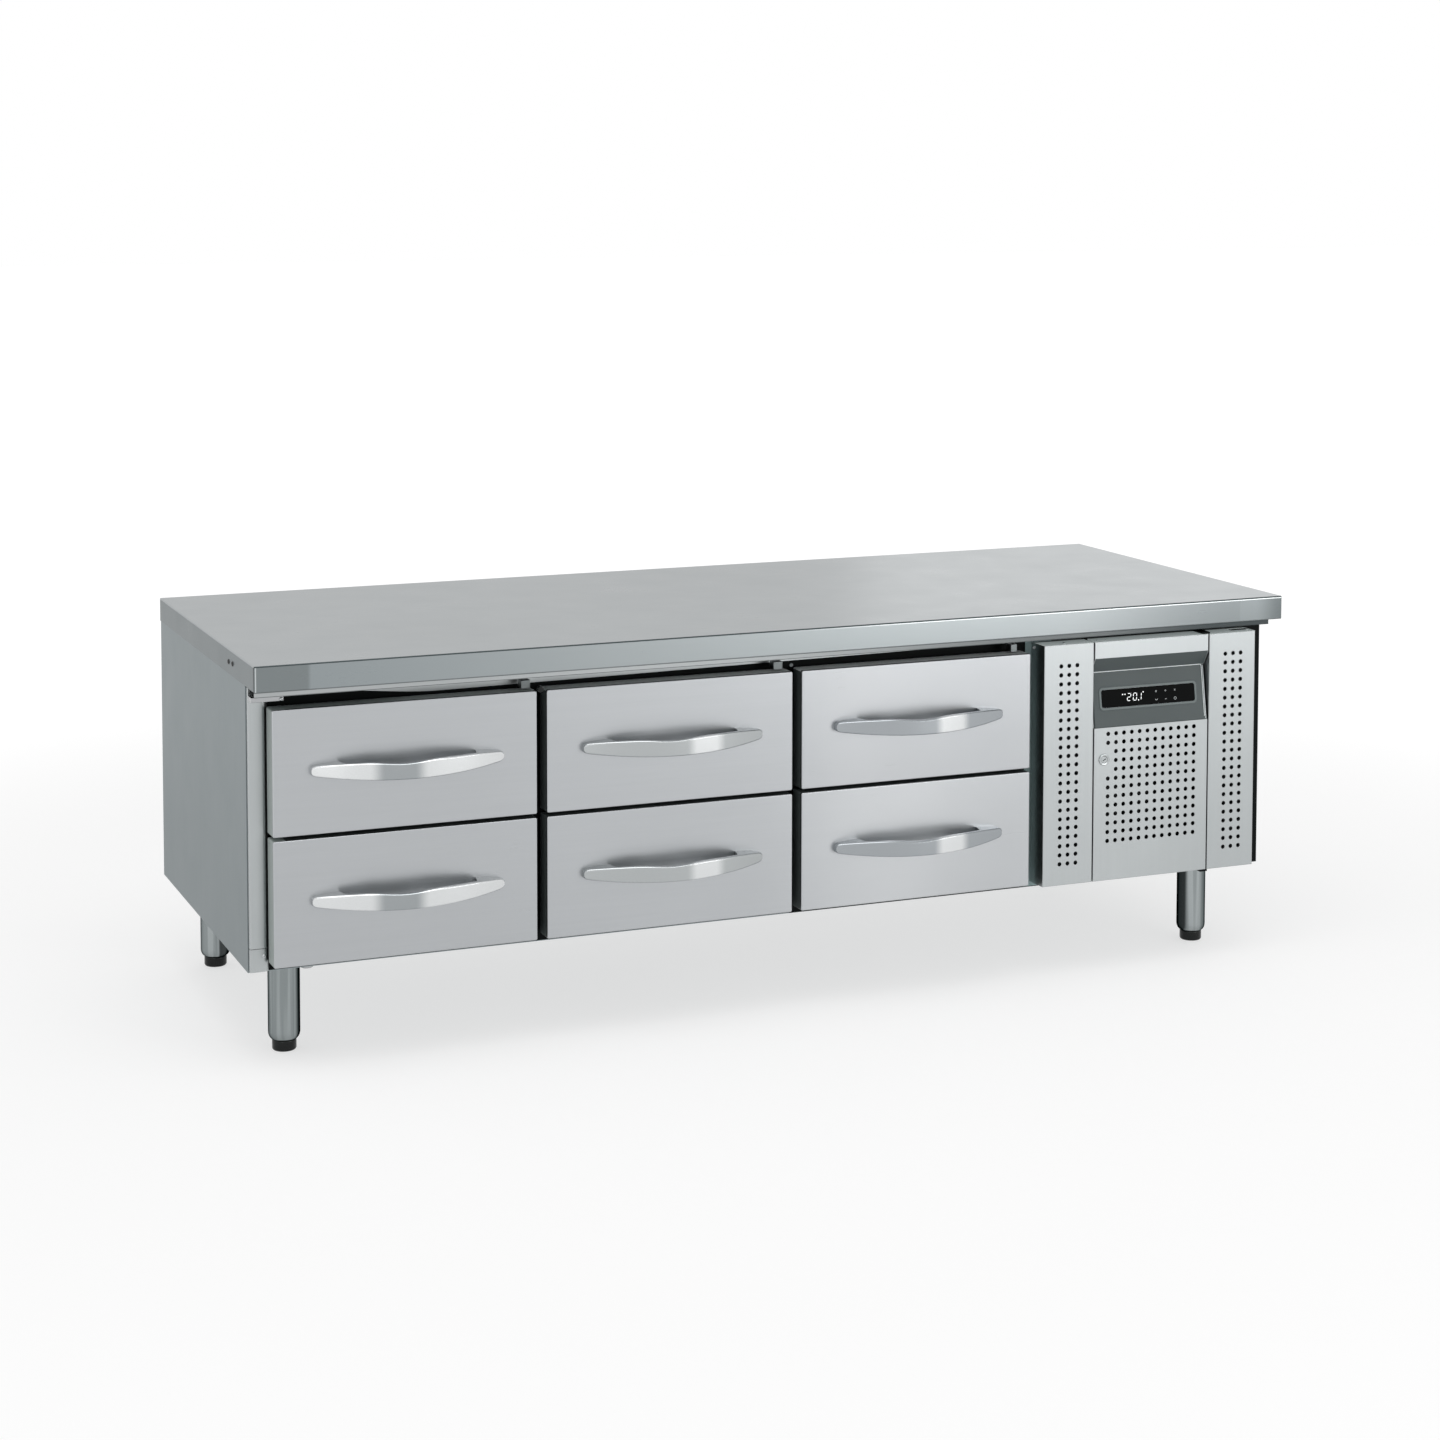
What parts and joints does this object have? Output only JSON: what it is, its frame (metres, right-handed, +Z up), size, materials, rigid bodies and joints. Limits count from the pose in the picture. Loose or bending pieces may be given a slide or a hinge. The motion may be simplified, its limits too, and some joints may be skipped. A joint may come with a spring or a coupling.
{
  "type": "refrigerated chef base",
  "caption": "Low refrigerated counter that carries cooking equipment: pull-out drawers for food pans, a perforated machine section with controls on the right, and round levelling legs.",
  "frame": {"origin": "middle of the bounding box at floor level", "axes": "+X to the right seen from the front, -Y towards the user, +Z up"},
  "size_m": [1.795, 0.7282, 0.63],
  "materials": {
    "brushed_steel": "brushed stainless steel",
    "inner_steel": "plain stainless sheet",
    "satin_aluminium": "satin polished",
    "insulation_foam": "rigid polyurethane foam",
    "gasket_rubber": "matt",
    "foot_plastic": "matt",
    "fascia_grey": "fine satin",
    "display_black": "gloss",
    "machine_black": "satin paint",
    "fin_aluminium": "plain",
    "copper_pipe": "bright copper",
    "lock_chrome": "polished"
  },
  "bodies": {
    "cabinet": {"compressor": "machine_black", "condenser": "fin_aluminium", "condenser_fan_motor": "machine_black", "control_box": "machine_black", "evaporator": "fin_aluminium", "evaporator_cover": "inner_steel", "evaporator_fan_motor": "machine_black", "front_frame": "brushed_steel", "grille_left": "brushed_steel", "grille_right": "brushed_steel", "inner_liner": "inner_steel", "insulation": "insulation_foam", "leg_front_left": "brushed_steel", "leg_front_right": "brushed_steel", "leg_rear_left": "brushed_steel", "leg_rear_right": "brushed_steel", "machine_base": "inner_steel", "outer_casing": "brushed_steel", "refrigerant_pipe": "copper_pipe", "slide_rack_1": "inner_steel", "slide_rack_2": "inner_steel", "slide_rack_3": "inner_steel", "slide_rack_4": "inner_steel", "top_rail": "brushed_steel", "worktop": "brushed_steel"},
    "drawer_1_lower": {"drawer_front_1_lower": "brushed_steel", "drawer_gasket_1_lower": "gasket_rubber", "drawer_handle_1_lower": "satin_aluminium", "drawer_tray_1_lower": "inner_steel"},
    "drawer_1_upper": {"drawer_front_1_upper": "brushed_steel", "drawer_gasket_1_upper": "gasket_rubber", "drawer_handle_1_upper": "satin_aluminium", "drawer_tray_1_upper": "inner_steel"},
    "drawer_2_lower": {"drawer_front_2_lower": "brushed_steel", "drawer_gasket_2_lower": "gasket_rubber", "drawer_handle_2_lower": "satin_aluminium", "drawer_tray_2_lower": "inner_steel"},
    "drawer_2_upper": {"drawer_front_2_upper": "brushed_steel", "drawer_gasket_2_upper": "gasket_rubber", "drawer_handle_2_upper": "satin_aluminium", "drawer_tray_2_upper": "inner_steel"},
    "drawer_3_lower": {"drawer_front_3_lower": "brushed_steel", "drawer_gasket_3_lower": "gasket_rubber", "drawer_handle_3_lower": "satin_aluminium", "drawer_tray_3_lower": "inner_steel"},
    "drawer_3_upper": {"drawer_front_3_upper": "brushed_steel", "drawer_gasket_3_upper": "gasket_rubber", "drawer_handle_3_upper": "satin_aluminium", "drawer_tray_3_upper": "inner_steel"},
    "levelling_foot_front_left": {"foot_front_left": "foot_plastic"},
    "levelling_foot_front_right": {"foot_front_right": "foot_plastic"},
    "levelling_foot_rear_left": {"foot_rear_left": "foot_plastic"},
    "levelling_foot_rear_right": {"foot_rear_right": "foot_plastic"},
    "service_panel": {"service_door": "brushed_steel", "control_fascia": "fascia_grey", "display": "display_black", "lock_case": "lock_chrome"},
    "lock": {"lock_cam": "lock_chrome"},
    "condenser_fan_rotor": {"condenser_fan": "machine_black"},
    "evaporator_fan_rotor": {"evaporator_fan": "machine_black"}
  },
  "joints": [
    {"name": "drawer_1_lower_slide", "type": "slide", "parent": "cabinet", "child": "drawer_1_lower", "axis": [0, -1, 0], "range_m": [0, 0.42]},
    {"name": "drawer_1_upper_slide", "type": "slide", "parent": "cabinet", "child": "drawer_1_upper", "axis": [0, -1, 0], "range_m": [0, 0.42]},
    {"name": "drawer_2_lower_slide", "type": "slide", "parent": "cabinet", "child": "drawer_2_lower", "axis": [0, -1, 0], "range_m": [0, 0.42]},
    {"name": "drawer_2_upper_slide", "type": "slide", "parent": "cabinet", "child": "drawer_2_upper", "axis": [0, -1, 0], "range_m": [0, 0.42]},
    {"name": "drawer_3_lower_slide", "type": "slide", "parent": "cabinet", "child": "drawer_3_lower", "axis": [0, -1, 0], "range_m": [0, 0.42]},
    {"name": "drawer_3_upper_slide", "type": "slide", "parent": "cabinet", "child": "drawer_3_upper", "axis": [0, -1, 0], "range_m": [0, 0.42]},
    {"name": "foot_front_left_thread", "type": "slide", "parent": "cabinet", "child": "levelling_foot_front_left", "axis": [0, 0, -1], "range_m": [0, 0.03]},
    {"name": "foot_front_right_thread", "type": "slide", "parent": "cabinet", "child": "levelling_foot_front_right", "axis": [0, 0, -1], "range_m": [0, 0.03]},
    {"name": "foot_rear_left_thread", "type": "slide", "parent": "cabinet", "child": "levelling_foot_rear_left", "axis": [0, 0, -1], "range_m": [0, 0.03]},
    {"name": "foot_rear_right_thread", "type": "slide", "parent": "cabinet", "child": "levelling_foot_rear_right", "axis": [0, 0, -1], "range_m": [0, 0.03]},
    {"name": "service_panel_hinge", "type": "hinge", "parent": "cabinet", "child": "service_panel", "pos_m": [0.76, -0.31185, 0.1595], "axis": [0, 0, 1], "range_deg": [0, 100]},
    {"name": "lock_turn", "type": "hinge", "parent": "service_panel", "child": "lock", "pos_m": [0.5607, -0.31585, 0.3675], "axis": [0, 1, 0], "range_deg": [0, 90]},
    {"name": "condenser_fan_spin", "type": "hinge", "parent": "cabinet", "child": "condenser_fan_rotor", "pos_m": [0.67125, -0.17915, 0.3028], "axis": [0, 1, 0], "continuous": true},
    {"name": "evaporator_fan_spin", "type": "hinge", "parent": "cabinet", "child": "evaporator_fan_rotor", "pos_m": [0.40615, 0.21165, 0.4215], "axis": [1, 0, 0], "continuous": true}
  ]
}
